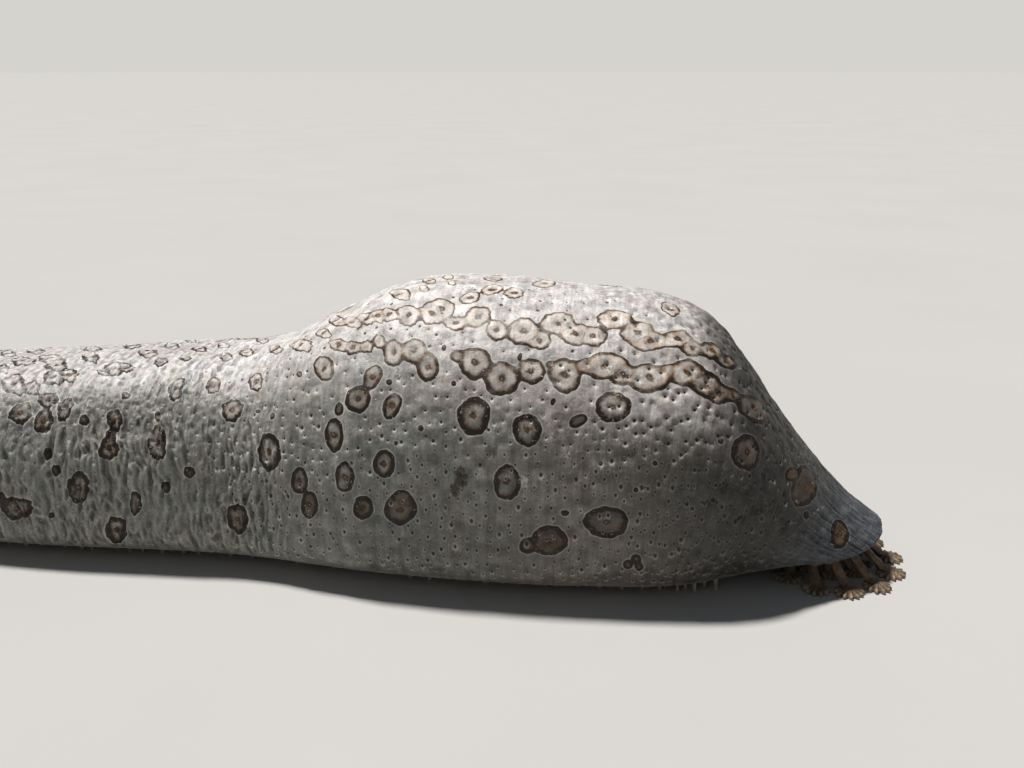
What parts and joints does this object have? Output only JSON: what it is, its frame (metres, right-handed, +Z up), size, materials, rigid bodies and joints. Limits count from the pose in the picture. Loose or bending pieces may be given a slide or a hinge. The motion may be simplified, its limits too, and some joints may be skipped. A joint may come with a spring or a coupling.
{
  "type": "ocellated sea cucumber",
  "caption": "Life-size still model of a ringed sea cucumber resting on its tube feet, hump raised, mouth with shield tentacles turned down.",
  "frame": {"origin": "centre of the bounding box in plan, on the floor that the animal rests on", "axes": "+X towards the mouth, +Y towards the animal's left flank, away from the side that the picture shows, +Z up"},
  "size_m": [0.4308, 0.142, 0.1041],
  "materials": {
    "skin": "soft wet leathery skin with dark ringed eye spots",
    "oral_disc": "soft dark wet skin",
    "tentacle": "soft brown wet skin"
  },
  "bodies": {
    "root": {"anal_end": "skin", "hind_body": "skin", "waist": "skin", "hump": "skin", "fore_body": "skin", "head_end": "skin", "mouth_disc": "oral_disc", "tentacle_01": "tentacle", "tentacle_02": "tentacle", "tentacle_03": "tentacle", "tentacle_04": "tentacle", "tentacle_05": "tentacle", "tentacle_06": "tentacle", "tentacle_07": "tentacle", "tentacle_08": "tentacle", "tentacle_09": "tentacle", "tentacle_10": "tentacle", "tentacle_11": "tentacle", "tentacle_12": "tentacle", "tentacle_13": "tentacle", "tentacle_14": "tentacle", "tentacle_15": "tentacle", "tentacle_16": "tentacle", "tentacle_17": "tentacle", "tentacle_18": "tentacle", "tentacle_19": "tentacle", "tentacle_20": "tentacle"}
  },
  "joints": []
}
